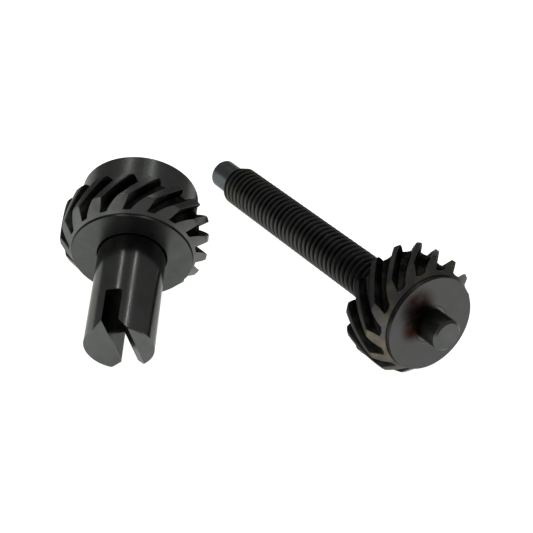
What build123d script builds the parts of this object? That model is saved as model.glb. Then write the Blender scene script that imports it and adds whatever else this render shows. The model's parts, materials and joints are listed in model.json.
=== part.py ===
"""Crossed-axis helical gear pair: a slotted pinion and the threaded spindle that it turns.

Both pieces lie loose on a flat surface at z = 0. The spindle's axis runs above +X.
Each piece is modelled standing on its own Z axis and is then laid down.
"""
import os
from dataclasses import dataclass
from math import acos, atan, ceil, cos, degrees, pi, radians, sin, tan

from build123d import *

# Gear teeth, shared by both gears
NORMAL_MODULE = 0.75
PRESSURE_ANGLE = 20.0
ADDENDUM = 0.55 * NORMAL_MODULE
DEDENDUM = 1.25 * NORMAL_MODULE
TIP_ROUNDING = 0.16
REAR_TIP_CHAMFER = 0.25
HUB_STEP = 0.07
INVOLUTE_START = 0.04
INVOLUTE_STEPS = 3
OVERRUN = 0.50

# Threaded spindle, from the dog point (z < 0) to the journal
THREAD_RADIUS = 2.90
THREAD_PITCH = 1.00
THREAD_DEPTH = 0.60
THREAD_CREST = THREAD_PITCH / 8
THREAD_ROOT = THREAD_PITCH / 4
THREAD_BURIED = 0.10
TURNS_PER_LENGTH = 8
THREAD_END_CHAMFER = 0.45
DOG_RADIUS = 2.10
DOG_LENGTH = 4.60
DOG_CHAMFER = 0.35
SHOULDER_Z = 38.60
THREAD_RUNOUT = 0.90
SEAT_RADIUS = 2.40
SEAT_BORE_CHAMFER = 0.06
SCREW_TOOTH_SHARE = 0.37
SCREW_GEAR_WIDTH = 6.90
SCREW_HUB_LIP = 0.70
SCREW_HUB_RADIUS = 6.20
JOURNAL_RADIUS = 2.03
JOURNAL_LENGTH = 3.40
JOURNAL_CHAMFER = 0.30

# Slotted pinion, from the slotted end (z = 0) to the boss
STEM_RADIUS = 4.25
STEM_LENGTH = 14.20
STEM_CHAMFER = 0.15
SLOT_WIDTH = 2.10
SLOT_DEPTH = 5.65
SLOT_LEAD_IN = 1.10
SLOT_ANGLE = 160.0
SHAFT_SEAT_RADIUS = 4.00
PINION_TOOTH_SHARE = 0.46
PINION_TEETH_WIDTH = 5.60
PINION_HUB_LIP = 0.35
PINION_HUB_RADIUS = 7.56
BOSS_RADIUS = 7.45
BOSS_LENGTH = 4.75
BOSS_CHAMFER = 0.30
BORE_CHAMFER = 0.18

# Cutting tools stand this far outside what they trim
CLEARANCE = 1.0
SAME_RADIUS = 0.01

# How the two pieces lie: where the pinion's slotted end is, and which way it points
PINION_END_X = 31.0
PINION_END_Y = -34.9
PINION_YAW = 148.4
SCREW_GEAR_PHASE = 33.5
PINION_PHASE = -3.0


@dataclass
class HelicalGear:
    """Right-hand helical teeth, with angles in degrees. The phase is a crest at the first face.

    The share is the tooth's part of the pitch at the reference circle. A flat hub stands proud
    of the coned tooth ends by the lip.
    """
    teeth: int
    helix: float
    share: float
    width: float
    phase: float
    lip: float
    hub_radius: float

    @property
    def reference_radius(self):
        return self.teeth * NORMAL_MODULE / (2 * cos(radians(self.helix)))

    @property
    def transverse_pressure(self):
        return atan(tan(radians(PRESSURE_ANGLE)) / cos(radians(self.helix)))

    @property
    def base_radius(self):
        return self.reference_radius * cos(self.transverse_pressure)

    @property
    def tip_radius(self):
        return self.reference_radius + ADDENDUM

    @property
    def root_radius(self):
        return self.reference_radius - DEDENDUM

    @property
    def twist(self):
        """Turn of the teeth, in degrees, for each millimetre along the axis."""
        return degrees(tan(radians(self.helix)) / self.reference_radius)

    def half_tooth(self, radius):
        """Half of a tooth's angle at a radius, from the involute."""
        at_reference = pi * self.share / self.teeth
        opening = acos(min(1, self.base_radius / radius))
        roll = tan(opening) - opening
        start = tan(self.transverse_pressure) - self.transverse_pressure
        return degrees(at_reference + start - roll)


SCREW_GEAR = HelicalGear(
    teeth=14, helix=46, share=SCREW_TOOTH_SHARE, width=SCREW_GEAR_WIDTH, phase=SCREW_GEAR_PHASE,
    lip=SCREW_HUB_LIP, hub_radius=SCREW_HUB_RADIUS)
PINION_GEAR = HelicalGear(
    teeth=17, helix=44, share=PINION_TOOTH_SHARE, width=PINION_TEETH_WIDTH, phase=PINION_PHASE,
    lip=PINION_HUB_LIP, hub_radius=PINION_HUB_RADIUS)


def at_angle(radius, angle):
    return Vector(radius * cos(radians(angle)), radius * sin(radians(angle)))


def turned(points):
    """A solid of revolution about Z from (radius, z) points."""
    outline = Polyline(*[(r, 0, z) for r, z in points], close=True)
    return revolve(make_face(outline), Axis.Z, 360)


def cylinder_between(radius, low, high):
    upwards = (Align.CENTER, Align.CENTER, Align.MIN)
    return Pos(0, 0, low) * Cylinder(radius, high - low, align=upwards)


def tooth_section(gear):
    """The gear's section across its axis: involute flanks, rounded tips, arcs for roots."""
    form_radius = max(gear.base_radius, gear.root_radius) + INVOLUTE_START
    step = (gear.tip_radius - form_radius) / INVOLUTE_STEPS
    radii = [form_radius + step * count for count in range(INVOLUTE_STEPS + 1)]
    pitch = 360 / gear.teeth
    edges = []
    for number in range(gear.teeth):
        centre = number * pitch
        rising = [at_angle(r, centre - gear.half_tooth(r)) for r in radii]
        falling = [at_angle(r, centre + gear.half_tooth(r)) for r in reversed(radii)]
        next_root = at_angle(form_radius, centre + pitch - gear.half_tooth(form_radius))
        edges.append(Spline(*rising))
        edges.append(ThreePointArc(rising[-1], at_angle(gear.tip_radius, centre), falling[0]))
        edges.append(Spline(*falling))
        bottom = at_angle(gear.root_radius, centre + pitch / 2)
        edges.append(ThreePointArc(falling[-1], bottom, next_root))
    section = make_face(edges)
    tips = [v for v in section.vertices() if Vector(v).length > gear.tip_radius - SAME_RADIUS]
    return section.face().fillet_2d(TIP_ROUNDING, tips)


def helical_teeth(gear, first_z):
    """Twisted teeth before their ends are turned, so they run past both faces."""
    length = gear.width + 2 * OVERRUN
    twisted = Solid.extrude_linear_with_rotation(
        tooth_section(gear), center=(0, 0, 0), normal=(0, 0, length), angle=gear.twist * length)
    start_angle = gear.phase - gear.twist * OVERRUN
    return Pos(0, 0, first_z - OVERRUN) * Rot(0, 0, start_angle) * twisted


def tooth_envelope(gear, coned_face, plain_face):
    """The turned outline that trims the teeth: a 45 degree cone in front, a chamfer behind.

    It stands clear of the tooth tips, so only its cones and flats cut them.
    """
    inward = 1 if plain_face > coned_face else -1
    outside = gear.tip_radius + CLEARANCE
    cone_base = gear.hub_radius + HUB_STEP
    cone_start = coned_face + inward * gear.lip
    chamfer_base = gear.tip_radius - REAR_TIP_CHAMFER
    return [
        (0, cone_start),
        (cone_base, cone_start),
        (outside, cone_start + inward * (outside - cone_base)),
        (outside, plain_face - inward * (outside - chamfer_base)),
        (chamfer_base, plain_face),
        (0, plain_face),
    ]


def screw_gear_piece():
    """Teeth with a coned front and a raised, flat hub face; bored to press onto the seat."""
    gear = SCREW_GEAR
    front = SHOULDER_Z + gear.width
    teeth = helical_teeth(gear, SHOULDER_Z) & turned(tooth_envelope(gear, front, SHOULDER_Z))
    hub = cylinder_between(gear.hub_radius, SHOULDER_Z, front)
    bore = turned([
        (0, SHOULDER_Z), (SEAT_RADIUS, SHOULDER_Z), (SEAT_RADIUS, front - SEAT_BORE_CHAMFER),
        (SEAT_RADIUS + SEAT_BORE_CHAMFER, front), (0, front)])
    return teeth + hub - bore


def pinion_gear_piece():
    """Teeth with a coned front, a raised hub face and a plain boss behind; bored for the shaft."""
    gear = PINION_GEAR
    teeth_end = STEM_LENGTH + gear.width
    boss_end = teeth_end + BOSS_LENGTH
    teeth = helical_teeth(gear, STEM_LENGTH) & turned(tooth_envelope(gear, STEM_LENGTH, teeth_end))
    hub = cylinder_between(gear.hub_radius, STEM_LENGTH, teeth_end)
    boss = turned([
        (0, teeth_end), (BOSS_RADIUS, teeth_end), (BOSS_RADIUS, boss_end - BOSS_CHAMFER),
        (BOSS_RADIUS - BOSS_CHAMFER, boss_end), (0, boss_end)])
    mouth = STEM_RADIUS + BORE_CHAMFER
    bore = turned([
        (0, STEM_LENGTH), (mouth, STEM_LENGTH),
        (SHAFT_SEAT_RADIUS, STEM_LENGTH + mouth - SHAFT_SEAT_RADIUS),
        (SHAFT_SEAT_RADIUS, boss_end - BORE_CHAMFER),
        (SHAFT_SEAT_RADIUS + BORE_CHAMFER, boss_end), (0, boss_end)])
    return teeth + hub + boss - bore


def thread_ridge():
    """Some whole turns of the right-hand thread's ridge, its foot buried in the core."""
    root_radius = THREAD_RADIUS - THREAD_DEPTH
    crest_half = THREAD_CREST / 2
    root_half = (THREAD_PITCH - THREAD_ROOT) / 2
    foot_half = root_half + (root_half - crest_half) * THREAD_BURIED / THREAD_DEPTH
    foot_radius = root_radius - THREAD_BURIED
    section = Polyline(
        (foot_radius, 0, -foot_half), (THREAD_RADIUS, 0, -crest_half),
        (THREAD_RADIUS, 0, crest_half), (foot_radius, 0, foot_half), close=True)
    line = Helix(pitch=THREAD_PITCH, height=TURNS_PER_LENGTH * THREAD_PITCH, radius=root_radius)
    return sweep(make_face(section), path=line, is_frenet=True)


def threaded_length(end_z):
    """The thread from z = 0, with its end chamfer, to where its run-out starts."""
    ridge = thread_ridge()
    step = TURNS_PER_LENGTH * THREAD_PITCH
    lengths = ceil((end_z + 2 * THREAD_PITCH) / step)
    ridges = [Pos(0, 0, number * step - THREAD_PITCH) * ridge for number in range(lengths)]
    core = cylinder_between(THREAD_RADIUS - THREAD_DEPTH, -2 * THREAD_PITCH, (lengths + 1) * step)
    envelope = turned([
        (0, 0), (THREAD_RADIUS - THREAD_END_CHAMFER, 0),
        (THREAD_RADIUS + CLEARANCE, THREAD_END_CHAMFER + CLEARANCE),
        (THREAD_RADIUS + CLEARANCE, end_z), (0, end_z)])
    return (core + ridges) & envelope


def threaded_spindle_piece():
    """A right-hand threaded shank with a dog point, a gear seat and an end journal."""
    thread_end = SHOULDER_Z - THREAD_RUNOUT
    dog = turned([
        (0, -DOG_LENGTH), (DOG_RADIUS - DOG_CHAMFER, -DOG_LENGTH),
        (DOG_RADIUS, DOG_CHAMFER - DOG_LENGTH), (DOG_RADIUS, 0), (0, 0)])
    seat_end = SHOULDER_Z + SCREW_GEAR_WIDTH
    journal_end = seat_end + JOURNAL_LENGTH
    rear = turned([
        (0, thread_end), (THREAD_RADIUS - THREAD_DEPTH, thread_end), (THREAD_RADIUS, SHOULDER_Z),
        (SEAT_RADIUS, SHOULDER_Z), (SEAT_RADIUS, seat_end), (JOURNAL_RADIUS, seat_end),
        (JOURNAL_RADIUS, journal_end - JOURNAL_CHAMFER),
        (JOURNAL_RADIUS - JOURNAL_CHAMFER, journal_end), (0, journal_end)])
    return threaded_length(thread_end) + dog + rear


def slotted_shaft_piece():
    """A stem with a bevelled driver slot across its free end, and a seat for the gear."""
    length = STEM_LENGTH + PINION_TEETH_WIDTH + BOSS_LENGTH
    shaft = turned([
        (0, 0), (STEM_RADIUS - STEM_CHAMFER, 0), (STEM_RADIUS, STEM_CHAMFER),
        (STEM_RADIUS, STEM_LENGTH), (SHAFT_SEAT_RADIUS, STEM_LENGTH),
        (SHAFT_SEAT_RADIUS, length - STEM_CHAMFER),
        (SHAFT_SEAT_RADIUS - STEM_CHAMFER, length), (0, length)])
    half = SLOT_WIDTH / 2
    mouth = half + SLOT_LEAD_IN + CLEARANCE
    outline = Polyline(
        (0, -half, SLOT_DEPTH), (0, -half, SLOT_LEAD_IN), (0, -mouth, -CLEARANCE),
        (0, mouth, -CLEARANCE), (0, half, SLOT_LEAD_IN), (0, half, SLOT_DEPTH), close=True)
    reach = STEM_RADIUS + CLEARANCE
    cutter = extrude(make_face(outline), amount=reach, dir=(1, 0, 0), both=True)
    return shaft - Rot(0, 0, SLOT_ANGLE) * cutter


def tip_reach(gear, face_z, at_z):
    """How far the teeth reach straight down at a height on the axis, from where the crests are."""
    pitch = 360 / gear.teeth
    crest = gear.phase + gear.twist * (at_z - face_z)
    away = abs((180 - crest + pitch / 2) % pitch - pitch / 2)
    gap = max(0, away - gear.half_tooth(gear.tip_radius))
    return gear.tip_radius * cos(radians(gap))


def lying(x, y, yaw, tilt, end_height):
    """The place of a piece whose Z axis points along yaw, rising by tilt, local X upwards."""
    level = cos(radians(tilt))
    axis = Vector(level * cos(radians(yaw)), level * sin(radians(yaw)), sin(radians(tilt)))
    upward = Vector(0, 0, 1) - axis * axis.Z
    return Plane(origin=(x, y, end_height), x_dir=upward, z_dir=axis).location


def spindle_place():
    """The spindle rests on its first thread and on its gear's rear tooth tips."""
    contact = SHOULDER_Z + REAR_TIP_CHAMFER
    rise = tip_reach(SCREW_GEAR, SHOULDER_Z, contact) - THREAD_RADIUS
    tilt = degrees(atan(rise / (contact - THREAD_END_CHAMFER)))
    height = THREAD_RADIUS * cos(radians(tilt)) - THREAD_END_CHAMFER * sin(radians(tilt))
    return lying(0, 0, 0, tilt, height)


def pinion_place():
    """The pinion rests on its slotted end and on its gear's front tooth tips."""
    cone_depth = PINION_GEAR.tip_radius - PINION_GEAR.hub_radius - HUB_STEP
    contact = STEM_LENGTH + PINION_GEAR.lip + cone_depth
    rise = tip_reach(PINION_GEAR, STEM_LENGTH, contact) - STEM_RADIUS
    tilt = degrees(atan(rise / contact))
    height = STEM_RADIUS * cos(radians(tilt))
    return lying(PINION_END_X, PINION_END_Y, PINION_YAW, tilt, height)


def main():
    spindle, pinion = spindle_place(), pinion_place()
    pieces = {
        "threaded_spindle": spindle * threaded_spindle_piece(),
        "screw_gear": spindle * screw_gear_piece(),
        "slotted_shaft": pinion * slotted_shaft_piece(),
        "pinion_gear": pinion * pinion_gear_piece(),
    }
    box = Compound([solid for piece in pieces.values() for solid in piece.solids()]).bounding_box()
    to_origin = Pos(-box.center().X, -box.center().Y, -box.min.Z)
    os.makedirs("parts", exist_ok=True)
    for name, piece in pieces.items():
        export_step(to_origin * piece, f"parts/{name}.step")
    print("moved by", to_origin.position)
    print("spindle place", spindle.position, "pinion place", pinion.position)


main()
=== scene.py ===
"""A crossed helical gear pair on a pale light table: a slotted pinion and a threaded spindle.

The CAD nodes keep their shapes. Each one gets a blackened steel whose marks, wear, stains and
painted shade follow the piece's own axis, so they turn with it.
"""
import json
import math

import bpy
from mathutils import Matrix, Vector

MM = 0.001
PER_MM = 1000.0

# Camera: the point it looks at, its direction seen from there, and its lens
AIM = Vector((-5.41, 10.45, 0.0)) * MM
AZIMUTH = 53.37
ELEVATION = 32.57
ROLL = 9.91
DISTANCE = 192.4 * MM
LENS = 94.6
SENSOR = 36.0
NEAREST = 0.01

# Floor and lights, in metres; radiance is what a light shows per unit of its face
FLOOR_HALF = 0.6
FLOOR_GLOW = 0.95
FLOOR_WHITE = (0.9, 0.9, 0.9, 1)
FLOOR_ROUGH = 0.9
ROOM_LIGHT = 0.30
OVERHEAD = Vector((-0.363, 0.137, 0.922))
OVERHEAD_BOXES = {"box_left": -25.0, "box_right": 19.0}
OVERHEAD_BOX = {"distance": 0.6, "width": 0.035, "length": 0.5, "radiance": 5.0}
SIDEWAYS = Vector((0.2, -0.9, 0.45))
SIDE_BOX = {"distance": 0.7, "width": 0.5, "length": 0.5, "radiance": 0.8}
UP = Vector((0, 0, 1))

# Gear teeth, in millimetres: depth is measured from the hub's flat face into the teeth
SCREW_TEETH = {"hub": 6.20, "cone": 6.27, "lip": 0.70, "tip": 7.97, "width": 6.90}
PINION_TEETH = {"hub": 7.56, "cone": 7.63, "lip": 0.35, "tip": 9.275, "width": 5.60}
ON_SURFACE = 0.06

# Thread, in millimetres from the axis or from the dog point's shoulder; a pair of numbers, here
# and below, is the stretch over which the edge of a mark fades
CREST_RADIUS = 2.90
CREST_BAND = (CREST_RADIUS - 0.08, CREST_RADIUS - 0.02)
ROOT_BAND = (CREST_RADIUS - 0.3, CREST_RADIUS - 0.05)
THREAD_START = (0.0, 0.1)
THREAD_END = (37.7, 37.9)
OILED_START = (4.0, 9.0)

# Slotted stem, in millimetres: depths are from the free end
STEM_RADIUS = 4.25
SLOT_MOUTH = (1.10, 1.40)
SLOT_FLOOR = (5.71, 5.85)
RUBBED_END = (0.4, 5.0)

# Brown stain on the screw gear's face, darkened and spread to paint the journal's dark reflection
# too, in millimetres: places from its axis, sizes, and depth
STAIN_REFLECTION_ACROSS = 2.4
STAIN_REFLECTION_RISE = 2.9
STAIN_REFLECTION_UPPER = (0.9, 3.1)
STAIN_REFLECTION_LOWER = (0.9, 2.6)
STAIN_REFLECTION_INTO_FACE = (0.1, 0.3)
STAIN_REFLECTION_UP_JOURNAL = (-1.2, 0.0)

# Blackened steel, and the near-black used for painted shade
FACE_BLACK = (0.066, 0.069, 0.065)
FACE_GREY = (0.096, 0.100, 0.095)
# Near-black that paints shade in gear grooves, thread roots, hub lips and the slot; it also
# darkens the crests
PAINTED_SHADE_BLACK = (0.008, 0.008, 0.007)
WORN_STEEL = (0.180, 0.184, 0.176)
TAN_STAIN = (0.135, 0.115, 0.072)
# A dark brown: a real stain, also used to paint the journal's dark reflection
BROWN_STAIN_AND_REFLECTION = (0.020, 0.005, 0.003)
BLUE_GREY = (0.090, 0.098, 0.104)
VIOLET_STAIN = (0.082, 0.074, 0.078)
# Tints of the steel's grazing reflection: its own, and a darker one that paints shade in grooves
# and roots
RIM_TINT = (0.60, 0.61, 0.59)
PAINTED_SHADE_TINT = (0.16, 0.16, 0.15)

# How far each mark goes towards its colour, from 0 to 1
SPECK_SHARE = 0.35
TAN_SHARE = 0.9
SCREW_LIP_SHADE_SHARE = 0.6
SCREW_CREST_SHARE = 0.45
PINION_CONE_SHARE = 0.45
PINION_LIP_SHADE_SHARE = 0.5
PINION_CREST_SHARE = 0.25
RUBBED_SHARE = 0.3
SLOT_SHADE_SHARE = 0.93
OILED_SHARE = 0.6
THREAD_CREST_SHARE = 0.5

# Noise scales, per millimetre, and the values over which some of the noises come to show
CLOUDS = 0.55
CLOUD_EDGE = (0.35, 0.75)
SPECKS = 9.0
SPECK_EDGE = (0.62, 0.80)
TURNING_MARKS = 14.0
GEAR_MOTTLE = 0.8
STEEL_MOTTLE = 0.7
THREAD_MOTTLE = 0.5
RUBBING = 1.2
TAN_PATCHES = 0.45
TAN_EDGE = (0.42, 0.64)
START_PATCHES = 0.8
START_EDGE = (0.48, 0.62)

# Roughness: of each steel, and how far clouds and turning marks move it either way
STEM_ROUGH = 0.20
SATIN_ROUGH = 0.30
SINTER_ROUGH = 0.36
THREAD_ROUGH = 0.50
GROOVE_ROUGH = 0.52
CLOUD_SPREAD = 0.16
MARK_SPREAD = 0.14

# Skin: the bump's strength and height, and how far specks and the stem's turning marks rise in it
BUMP_STRENGTH = 0.35
BUMP_HEIGHT = 0.008 * MM
SPECK_BUMP = 0.5
STEM_MARKS = 0.4


class Graph:
    """One material, with short calls for the nodes that it needs."""

    def __init__(self, name):
        self.material = bpy.data.materials.new(name)
        self.material.use_nodes = True
        self.tree = self.material.node_tree
        self.shader = self.tree.nodes["Principled BSDF"]

    def node(self, kind, **settings):
        node = self.tree.nodes.new(kind)
        for key, value in settings.items():
            setattr(node, key, value)
        return node

    def join(self, value, socket):
        if isinstance(value, bpy.types.NodeSocket):
            self.tree.links.new(value, socket)
        else:
            socket.default_value = value

    def math(self, operation, *values):
        node = self.node("ShaderNodeMath", operation=operation)
        for value, socket in zip(values, node.inputs):
            self.join(value, socket)
        return node.outputs["Value"]

    def vector(self, operation, first, second=None, scale=None):
        node = self.node("ShaderNodeVectorMath", operation=operation)
        self.join(first, node.inputs[0])
        if second is not None:
            self.join(second, node.inputs[1])
        if scale is not None:
            self.join(scale, node.inputs["Scale"])
        number = operation in ("DOT_PRODUCT", "LENGTH", "DISTANCE")
        return node.outputs["Value" if number else "Vector"]

    def above(self, value, low, high):
        """0 where the value is under low, 1 where it is over high, smooth between."""
        node = self.node("ShaderNodeMapRange", interpolation_type="SMOOTHSTEP")
        self.join(value, node.inputs["Value"])
        node.inputs["From Min"].default_value = low
        node.inputs["From Max"].default_value = high
        return node.outputs["Result"]

    def below(self, value, low, high):
        return self.math("SUBTRACT", 1.0, self.above(value, low, high))

    def all_of(self, first, *others):
        for other in others:
            first = self.math("MULTIPLY", first, other)
        return first

    def noise(self, vector, scale, detail=3.0):
        node = self.node("ShaderNodeTexNoise")
        self.join(vector, node.inputs["Vector"])
        node.inputs["Scale"].default_value = scale
        node.inputs["Detail"].default_value = detail
        return node.outputs["Fac"]

    def blend(self, share, first, second):
        """From the first colour to the second as the share goes from 0 to 1."""
        node = self.node("ShaderNodeMix", data_type="RGBA")
        colours = [s for s in node.inputs if s.type == "RGBA"]
        self.join(share, node.inputs["Factor"])
        for value, socket in zip((first, second), colours):
            self.join(value if isinstance(value, bpy.types.NodeSocket) else (*value, 1.0), socket)
        return next(s for s in node.outputs if s.type == "RGBA")

    def between(self, share, low, high):
        """A number that goes from low to high as the share goes from 0 to 1."""
        node = self.node("ShaderNodeMapRange")
        self.join(share, node.inputs["Value"])
        self.join(low, node.inputs["To Min"])
        self.join(high, node.inputs["To Max"])
        return node.outputs["Result"]


class Piece:
    """A piece's own measures at each surface point, in millimetres, as shader values."""

    def __init__(self, graph, point, axis):
        place = graph.node("ShaderNodeTexCoord").outputs["Object"]
        offset = graph.vector("SUBTRACT", place, point)
        self.place = graph.vector("SCALE", offset, scale=PER_MM)
        self.depth = graph.vector("DOT_PRODUCT", self.place, axis)
        along = graph.vector("SCALE", axis, scale=self.depth)
        self.radius = graph.vector("LENGTH", graph.vector("SUBTRACT", self.place, along))
        combine = graph.node("ShaderNodeCombineXYZ")
        graph.join(self.radius, combine.inputs["X"])
        graph.join(self.depth, combine.inputs["Y"])
        self.turning = combine.outputs["Vector"]


def mount(name):
    """A mount's place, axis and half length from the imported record, in metres."""
    found = next(m for m in frame["record"]["mounts"] if m["name"] == name)
    return Vector(found["pos_m"]), Vector(found["axis"]), found["dims"]["length_mm"] * MM / 2


def blackened(graph, piece, colour, roughness, painted_shade=0.0, marks=1.0):
    """Sets the shader: cloudy oxide, fine turning marks round the axis, and a grained skin.

    The share of painted shade dims the steel's grazing reflection, in the grooves and thread roots
    where it is passed.
    """
    cloud = graph.noise(piece.place, CLOUDS, detail=4.0)
    speck = graph.noise(piece.place, SPECKS, detail=2.0)
    ring = graph.noise(piece.turning, TURNING_MARKS, detail=2.0)
    darker = graph.blend(0.5, colour, FACE_BLACK)
    colour = graph.blend(graph.above(cloud, *CLOUD_EDGE), colour, darker)
    worn = graph.all_of(graph.above(speck, *SPECK_EDGE), SPECK_SHARE)
    colour = graph.blend(worn, colour, WORN_STEEL)
    spread = graph.math("MULTIPLY_ADD", cloud, CLOUD_SPREAD, -CLOUD_SPREAD / 2)
    streak = graph.math("MULTIPLY_ADD", ring, MARK_SPREAD, -MARK_SPREAD / 2)
    roughness = graph.math("ADD", graph.math("ADD", roughness, spread), streak)
    graph.join(colour, graph.shader.inputs["Base Color"])
    graph.join(roughness, graph.shader.inputs["Roughness"])
    graph.shader.inputs["Metallic"].default_value = 1.0
    # Painted shade: the grazing reflection tint drops to the darker one where the shade share is
    # set
    graph.join(graph.blend(painted_shade, RIM_TINT, PAINTED_SHADE_TINT), graph.shader.inputs["Specular Tint"])
    height = graph.math("ADD", graph.all_of(ring, marks), graph.all_of(speck, SPECK_BUMP))
    bump = graph.node("ShaderNodeBump")
    bump.inputs["Strength"].default_value = BUMP_STRENGTH
    bump.inputs["Distance"].default_value = BUMP_HEIGHT
    graph.join(height, bump.inputs["Height"])
    graph.join(bump.outputs["Normal"], graph.shader.inputs["Normal"])


def tooth_masks(graph, piece, teeth):
    """(cut flanks and roots, coned tooth ends, tooth crests, hub lip), from depth and radius."""
    inside = graph.math("SUBTRACT", graph.math("SUBTRACT", piece.radius, teeth["cone"]),
                        graph.math("SUBTRACT", piece.depth, teeth["lip"]))
    flank = graph.all_of(
        graph.above(piece.radius, teeth["hub"] + ON_SURFACE / 2, teeth["hub"] + ON_SURFACE),
        graph.below(piece.radius, teeth["tip"] - 3 * ON_SURFACE, teeth["tip"] - ON_SURFACE),
        graph.below(inside, -2 * ON_SURFACE, -ON_SURFACE),
        graph.below(piece.depth, teeth["width"] - ON_SURFACE, teeth["width"] - ON_SURFACE / 2))
    coned = graph.all_of(
        graph.above(inside, -2 * ON_SURFACE, -ON_SURFACE),
        graph.above(piece.radius, teeth["hub"], teeth["hub"] + ON_SURFACE),
        graph.above(piece.depth, teeth["lip"] - ON_SURFACE, teeth["lip"]))
    crest = graph.all_of(
        graph.above(piece.radius, teeth["tip"] - 2 * ON_SURFACE, teeth["tip"] - ON_SURFACE),
        graph.below(piece.depth, teeth["width"] - ON_SURFACE, teeth["width"]))
    lip = graph.all_of(
        graph.above(piece.radius, teeth["hub"] - ON_SURFACE, teeth["hub"]),
        graph.above(piece.depth, ON_SURFACE / 2, ON_SURFACE),
        graph.below(piece.depth, teeth["lip"], teeth["lip"] + ON_SURFACE))
    return flank, coned, crest, lip


def stain_and_reflection(graph):
    """Where the brown stain and the painted dark reflection of the journal lie: on the screw
    gear's face and the foot of the journal.
    """
    point, outward, half = mount("end_journal")
    face = Piece(graph, point - outward * half, -outward)
    across = outward.cross(UP).normalized()
    lower = across * STAIN_REFLECTION_ACROSS
    upper = lower + across.cross(outward) * STAIN_REFLECTION_RISE
    near = graph.math(
        "MAXIMUM",
        graph.below(graph.vector("DISTANCE", face.place, upper), *STAIN_REFLECTION_UPPER),
        graph.below(graph.vector("DISTANCE", face.place, lower), *STAIN_REFLECTION_LOWER))
    return graph.all_of(
        near,
        graph.below(face.depth, *STAIN_REFLECTION_INTO_FACE),
        graph.above(face.depth, *STAIN_REFLECTION_UP_JOURNAL))


def screw_gear_steel():
    """Painted shade blackens the grooves, with grey crests, tan oil on the tooth ends, and a brown
    stain by the journal that also paints its dark reflection.
    """
    point, outward, half = mount("end_journal")
    graph = Graph("screw_gear_steel")
    piece = Piece(graph, point - outward * half, -outward)
    flank, coned, crest, lip = tooth_masks(graph, piece, SCREW_TEETH)
    colour = graph.blend(graph.noise(piece.place, GEAR_MOTTLE), FACE_BLACK, VIOLET_STAIN)
    patch = graph.above(graph.noise(piece.place, TAN_PATCHES), *TAN_EDGE)
    colour = graph.blend(graph.all_of(coned, patch, TAN_SHARE), colour, TAN_STAIN)
    # Brown stain, darker and wider than the stain alone, so it also paints the journal's dark
    # reflection on the face
    colour = graph.blend(stain_and_reflection(graph), colour, BROWN_STAIN_AND_REFLECTION)
    # Painted shade: the side of the hub's raised lip is darkened towards black
    colour = graph.blend(graph.all_of(lip, SCREW_LIP_SHADE_SHARE), colour, PAINTED_SHADE_BLACK)
    colour = graph.blend(graph.all_of(crest, SCREW_CREST_SHARE), colour, PAINTED_SHADE_BLACK)
    # Painted shade: the flanks and roots in the grooves go fully black
    colour = graph.blend(flank, colour, PAINTED_SHADE_BLACK)
    roughness = graph.between(graph.math("MAXIMUM", flank, crest), SINTER_ROUGH, GROOVE_ROUGH)
    blackened(graph, piece, colour, roughness, painted_shade=flank)
    return graph.material


def pinion_gear_steel():
    """Painted shade blackens the grooves between satin crests, with a brighter turned boss behind
    them.
    """
    point, outward, half = mount("pinion_stem")
    graph = Graph("pinion_gear_steel")
    piece = Piece(graph, point - outward * half, -outward)
    flank, coned, crest, lip = tooth_masks(graph, piece, PINION_TEETH)
    colour = graph.blend(graph.noise(piece.place, STEEL_MOTTLE), FACE_BLACK, FACE_GREY)
    colour = graph.blend(graph.all_of(coned, PINION_CONE_SHARE), colour, WORN_STEEL)
    # Painted shade: the side of the hub's raised lip is darkened towards black
    colour = graph.blend(graph.all_of(lip, PINION_LIP_SHADE_SHARE), colour, PAINTED_SHADE_BLACK)
    colour = graph.blend(graph.all_of(crest, PINION_CREST_SHARE), colour, PAINTED_SHADE_BLACK)
    # Painted shade: the flanks and roots in the grooves go fully black
    colour = graph.blend(flank, colour, PAINTED_SHADE_BLACK)
    roughness = graph.between(flank, SATIN_ROUGH, GROOVE_ROUGH)
    blackened(graph, piece, colour, roughness, painted_shade=flank)
    return graph.material


def slotted_shaft_steel():
    """A turned stem, rubbed a little brighter round its free end, with painted shade darkening its
    slot.
    """
    point, outward, half = mount("pinion_stem")
    graph = Graph("slotted_shaft_steel")
    piece = Piece(graph, point + outward * half, -outward)
    rubbed = graph.all_of(
        graph.below(piece.depth, *RUBBED_END),
        graph.noise(piece.place, RUBBING))
    colour = graph.blend(graph.noise(piece.place, STEEL_MOTTLE), FACE_BLACK, FACE_GREY)
    colour = graph.blend(graph.all_of(rubbed, RUBBED_SHARE), colour, WORN_STEEL)
    # Painted shade: the inside of the slot is darkened almost to black
    slot = graph.all_of(
        graph.below(piece.radius, STEM_RADIUS - 3 * ON_SURFACE, STEM_RADIUS - ON_SURFACE),
        graph.above(piece.depth, *SLOT_MOUTH),
        graph.below(piece.depth, *SLOT_FLOOR))
    colour = graph.blend(graph.all_of(slot, SLOT_SHADE_SHARE), colour, PAINTED_SHADE_BLACK)
    blackened(graph, piece, colour, STEM_ROUGH, marks=STEM_MARKS)
    return graph.material


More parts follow.
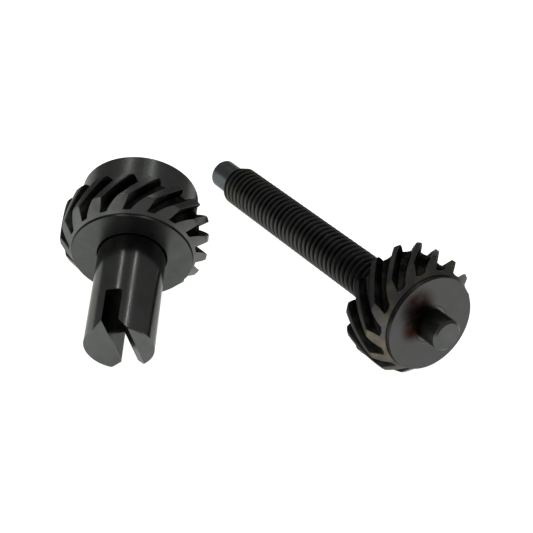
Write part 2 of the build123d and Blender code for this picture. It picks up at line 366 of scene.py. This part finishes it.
def spindle_steel():
    """Thread crests rubbed grey over roots blackened by painted shade, a blue-grey dog point, and
    tan oil beside it.
    """
    point, outward, half = mount("dog_point")
    graph = Graph("threaded_spindle_steel")
    piece = Piece(graph, point - outward * half, -outward)
    threaded = graph.all_of(
        graph.above(piece.depth, *THREAD_START),
        graph.below(piece.depth, *THREAD_END))
    root = graph.all_of(threaded, graph.below(piece.radius, *ROOT_BAND))
    crest = graph.all_of(threaded, graph.above(piece.radius, *CREST_BAND))
    oiled = graph.all_of(
        threaded,
        graph.below(piece.depth, *OILED_START),
        graph.above(graph.noise(piece.place, START_PATCHES), *START_EDGE))
    colour = graph.blend(graph.noise(piece.place, THREAD_MOTTLE), FACE_BLACK, FACE_GREY)
    colour = graph.blend(graph.below(piece.depth, *THREAD_START), colour, BLUE_GREY)
    # The same brown stain and painted dark reflection, carried round the journal's foot
    colour = graph.blend(stain_and_reflection(graph), colour, BROWN_STAIN_AND_REFLECTION)
    colour = graph.blend(graph.all_of(oiled, OILED_SHARE), colour, TAN_STAIN)
    colour = graph.blend(graph.all_of(crest, THREAD_CREST_SHARE), colour, PAINTED_SHADE_BLACK)
    # Painted shade: the thread roots go fully black
    colour = graph.blend(root, colour, PAINTED_SHADE_BLACK)
    roughness = graph.between(root, SATIN_ROUGH, THREAD_ROUGH)
    blackened(graph, piece, colour, roughness, painted_shade=root)
    return graph.material


def make_camera():
    """A long lens looking down at the two pieces; azimuth 0 looks along +Y."""
    turn = math.radians(AZIMUTH)
    rise = math.radians(ELEVATION)
    level = math.cos(rise)
    back = Vector((math.sin(turn) * level, -math.cos(turn) * level, math.sin(rise)))
    data = bpy.data.cameras.new("camera")
    data.lens = LENS
    data.sensor_width = SENSOR
    data.clip_start = NEAREST
    camera = bpy.data.objects.new("camera", data)
    bpy.context.scene.collection.objects.link(camera)
    look = back.to_track_quat("Z", "Y").to_matrix().to_4x4()
    roll = Matrix.Rotation(math.radians(ROLL), 4, "Z")
    camera.matrix_world = Matrix.Translation(AIM + back * DISTANCE) @ look @ roll
    bpy.context.scene.camera = camera


def make_floor():
    """A pale light table: it glows a little, so it casts no hard shadows."""
    half = FLOOR_HALF
    corners = [(-half, -half, 0), (half, -half, 0), (half, half, 0), (-half, half, 0)]
    mesh = bpy.data.meshes.new("floor")
    mesh.from_pydata(corners, [], [(0, 1, 2, 3)])
    floor = bpy.data.objects.new("floor", mesh)
    bpy.context.scene.collection.objects.link(floor)
    graph = Graph("floor_white")
    graph.shader.inputs["Base Color"].default_value = FLOOR_WHITE
    graph.shader.inputs["Roughness"].default_value = FLOOR_ROUGH
    graph.shader.inputs["Emission Color"].default_value = (1, 1, 1, 1)
    graph.shader.inputs["Emission Strength"].default_value = FLOOR_GLOW
    mesh.materials.append(graph.material)


def make_light(name, direction, along, distance, width, length, radiance):
    """A soft box in a direction from the pieces, facing them, its length lying along a vector."""
    data = bpy.data.lights.new(name, "AREA")
    data.shape = "RECTANGLE"
    data.size = width
    data.size_y = length
    data.energy = radiance * math.pi * width * length
    light = bpy.data.objects.new(name, data)
    bpy.context.scene.collection.objects.link(light)
    back = direction.normalized()
    long_side = (along - back * along.dot(back)).normalized()
    turn = Matrix((long_side.cross(back), long_side, back)).transposed().to_4x4()
    light.matrix_world = Matrix.Translation(back * distance) @ turn


def make_lights():
    """A dim room, two narrow boxes overhead, and a wide one at the camera's left."""
    world = bpy.data.worlds.new("studio")
    bpy.context.scene.world = world
    world.use_nodes = True
    room = world.node_tree.nodes["Background"]
    room.inputs["Color"].default_value = (1, 1, 1, 1)
    room.inputs["Strength"].default_value = ROOM_LIGHT
    axis = mount("pinion_boss")[1]
    for box, turn in OVERHEAD_BOXES.items():
        direction = Matrix.Rotation(math.radians(turn), 3, axis) @ OVERHEAD
        make_light(box, direction, axis, **OVERHEAD_BOX)
    make_light("box_side", SIDEWAYS, UP, **SIDE_BOX)


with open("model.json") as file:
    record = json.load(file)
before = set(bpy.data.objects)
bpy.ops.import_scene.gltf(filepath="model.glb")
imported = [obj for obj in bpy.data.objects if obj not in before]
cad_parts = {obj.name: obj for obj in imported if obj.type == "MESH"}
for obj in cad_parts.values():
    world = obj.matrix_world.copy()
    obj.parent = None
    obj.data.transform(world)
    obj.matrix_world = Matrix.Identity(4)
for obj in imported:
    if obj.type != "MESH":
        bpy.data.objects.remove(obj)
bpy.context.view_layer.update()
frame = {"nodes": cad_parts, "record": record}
steels = {
    "threaded_spindle": spindle_steel(),
    "screw_gear": screw_gear_steel(),
    "slotted_shaft": slotted_shaft_steel(),
    "pinion_gear": pinion_gear_steel(),
}
for name, steel in steels.items():
    frame["nodes"][name].material_slots[0].material = steel
make_camera()
make_floor()
make_lights()
bpy.context.scene.view_settings.view_transform = "Standard"
